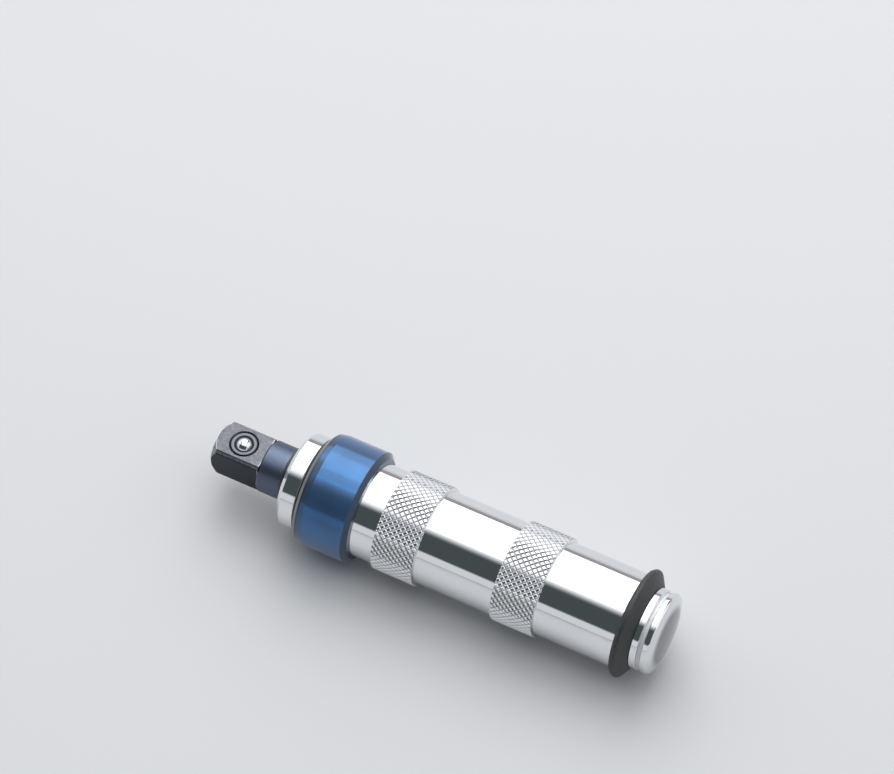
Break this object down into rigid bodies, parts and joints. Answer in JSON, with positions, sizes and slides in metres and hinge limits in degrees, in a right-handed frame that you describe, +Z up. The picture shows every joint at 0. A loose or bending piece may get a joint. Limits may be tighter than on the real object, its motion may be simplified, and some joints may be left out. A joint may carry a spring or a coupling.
{
  "type": "hand impact driver",
  "caption": "Hand impact driver: chromed round barrel with diamond-knurled grip bands, blue collar over the cam, rubber guard, grooved striking head and a square drive with a sprung ball.",
  "frame": {"origin": "centre of the flat tip of the square drive, on the tool's axis", "axes": "+X along the tool from the drive to the striking head, +Z up, out of the flat of the drive that holds the ball, with the tool lying on its side, +Y to the back"},
  "size_m": [0.1515, 0.036, 0.036],
  "materials": {
    "chrome_plate": "bright chrome plate on steel",
    "blue_anodised": "blue anodised, semi-gloss",
    "black_steel": "dark phosphated steel, satin",
    "polished_steel": "polished hardened steel",
    "hardened_steel": "ground and hardened steel",
    "spring_steel": "oiled spring wire",
    "bronze": "plain bearing bronze",
    "black_rubber": "satin black rubber"
  },
  "bodies": {
    "barrel": {"barrel": "chrome_plate", "front_cap": "chrome_plate", "nose_seal": "black_rubber", "cap_o_ring": "black_rubber", "front_bush": "bronze", "return_washer": "hardened_steel", "drive_pin_back": "hardened_steel", "drive_pin_front": "hardened_steel", "collar": "blue_anodised", "collar_o_ring": "black_rubber", "main_spring": "spring_steel", "spring_seat": "hardened_steel", "striking_head": "chrome_plate", "head_o_ring": "black_rubber", "guard_ring": "black_rubber"},
    "stroke_carriage": {"thrust_washer": "hardened_steel"},
    "anvil": {"anvil": "black_steel", "detent_retainer": "black_steel", "detent_spring": "spring_steel"},
    "ball": {"detent_ball": "polished_steel"}
  },
  "joints": [
    {"name": "impact_stroke", "type": "slide", "parent": "barrel", "child": "stroke_carriage", "axis": [1, 0, 0], "range_m": [0, 0.008], "stiffness_N_per_m": 6000, "springref_m": -0.012, "deforming": ["main_spring"]},
    {"name": "cam_turn", "type": "hinge", "parent": "stroke_carriage", "child": "anvil", "pos_m": [0.0468, 0, 0], "axis": [1, 0, 0], "range_deg": [0, 25]},
    {"name": "ball_detent", "type": "slide", "parent": "anvil", "child": "ball", "axis": [0, 0, -1], "range_m": [0, 0.0012], "stiffness_N_per_m": 1500, "springref_m": -0.0015, "deforming": ["detent_spring"]}
  ],
  "couplings": [
    {"joint": "cam_turn", "follows": "impact_stroke", "rad_per_m": 54.5}
  ]
}
